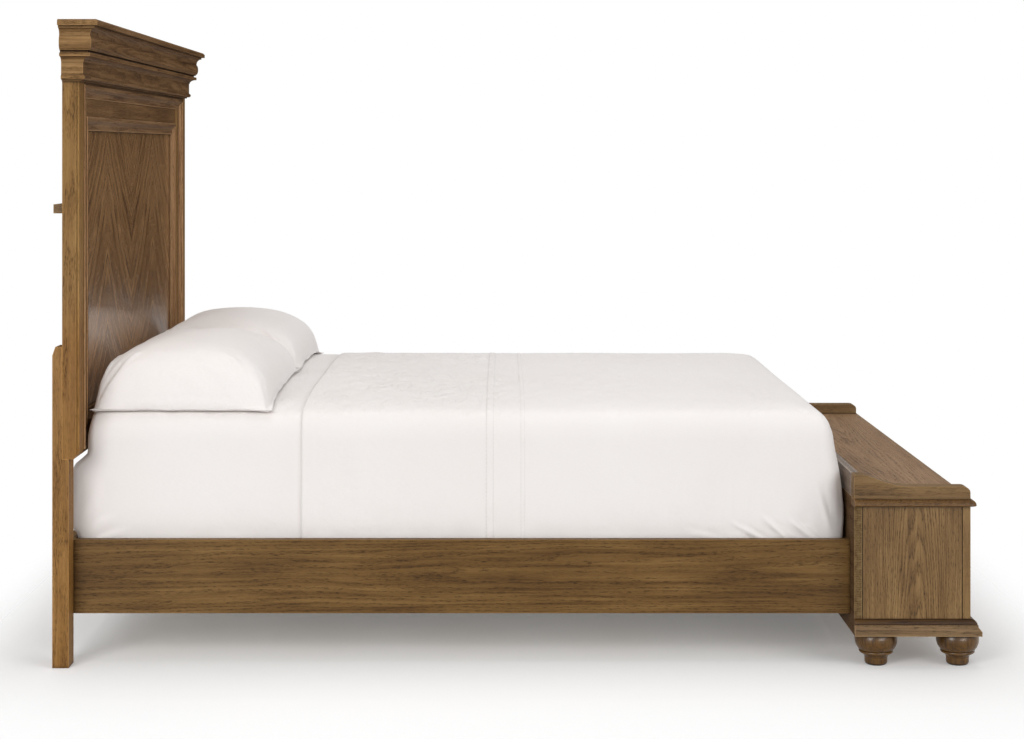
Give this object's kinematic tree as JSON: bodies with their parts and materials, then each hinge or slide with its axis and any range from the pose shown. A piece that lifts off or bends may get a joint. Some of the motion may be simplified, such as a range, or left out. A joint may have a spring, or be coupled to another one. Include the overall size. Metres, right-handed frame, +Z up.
{
  "type": "storage bed",
  "caption": "Queen bed with a panelled, corniced headboard, slatted side rails and a blanket bench on bun feet at its foot whose lid lifts on rear hinges, made up with sheets and pillows.",
  "frame": {"origin": "on the floor, at the middle of the bed's length and width (centre of the bounding box's base)", "axes": "+X from the headboard to the bench at the foot, +Z up, +Y towards the right side as seen from the foot"},
  "size_m": [2.443, 1.83, 1.7],
  "materials": {
    "oak_headboard": "open-grained oak, mid brown stain, satin lacquer",
    "oak_veneer": "oak veneer in diagonal leaves, satin lacquer",
    "oak": "open-grained oak, light brown stain with pale pores, satin lacquer",
    "oak_top": "oak boards, light brown stain, satin lacquer",
    "secondary_wood": "planed softwood and plywood, unfinished",
    "steel": "zinc-plated steel",
    "hinge_bronze": "dark bronze finish",
    "glide_nylon": "black nylon",
    "ticking": "quilted cotton ticking",
    "cotton_sheet": "smooth white cotton"
  },
  "bodies": {
    "root": {"headboard_stile_left": "oak_headboard", "headboard_stile_right": "oak_headboard", "headboard_top_rail": "oak_headboard", "headboard_bottom_rail": "oak_headboard", "outer_moulding": "oak_headboard", "panel_moulding": "oak_headboard", "headboard_back_batten": "oak_headboard", "cornice_cap": "oak_headboard", "cornice_crown": "oak_headboard", "cornice_lip": "oak_headboard", "frieze_board": "oak_headboard", "astragal": "oak_headboard", "panel_veneer": "oak_veneer", "headboard_leg_left": "oak", "headboard_leg_right": "oak", "headboard_cross_rail": "oak", "side_rail_left": "oak", "side_rail_right": "oak", "bench_front_stiles": "oak", "bench_front_top_rail": "oak", "bench_front_bottom_rail": "oak", "bench_front_muntin": "oak", "bench_front_panels": "oak", "bench_front_moulding": "oak", "bench_end_panel_left": "oak", "bench_end_panel_right": "oak", "bench_back_panel": "oak", "base_moulding": "oak", "plinth": "oak", "bun_foot_front_left": "oak", "bun_foot_front_right": "oak", "bun_foot_back_left": "oak", "bun_foot_back_right": "oak", "raised_end_left": "oak", "raised_end_right": "oak", "gallery_back": "oak", "top_end_boards": "oak_top", "headboard_panel": "secondary_wood", "slat_ledgers": "secondary_wood", "bed_slats": "secondary_wood", "centre_legs": "secondary_wood", "bench_bottom": "secondary_wood", "bench_corner_cleats": "secondary_wood", "foot_blocks": "secondary_wood", "leg_bolts": "steel", "rail_brackets": "steel", "rail_bolts": "steel", "slat_screws": "steel", "foot_bolts": "steel", "lid_hinge_pins": "steel", "lid_hinge_fixed_leaves": "hinge_bronze", "centre_leg_glides": "glide_nylon", "foundation": "ticking", "mattress": "ticking", "fitted_sheet": "cotton_sheet", "top_sheet": "cotton_sheet", "pillows": "cotton_sheet"},
    "lid": {"lid": "oak_top", "lid_battens": "secondary_wood", "lid_hinge_moving_leaves": "hinge_bronze"}
  },
  "joints": [
    {"name": "lid_hinge", "type": "hinge", "parent": "root", "child": "lid", "pos_m": [0.9088, 0, 0.4483], "axis": [0, -1, 0], "range_deg": [0, 85]}
  ]
}
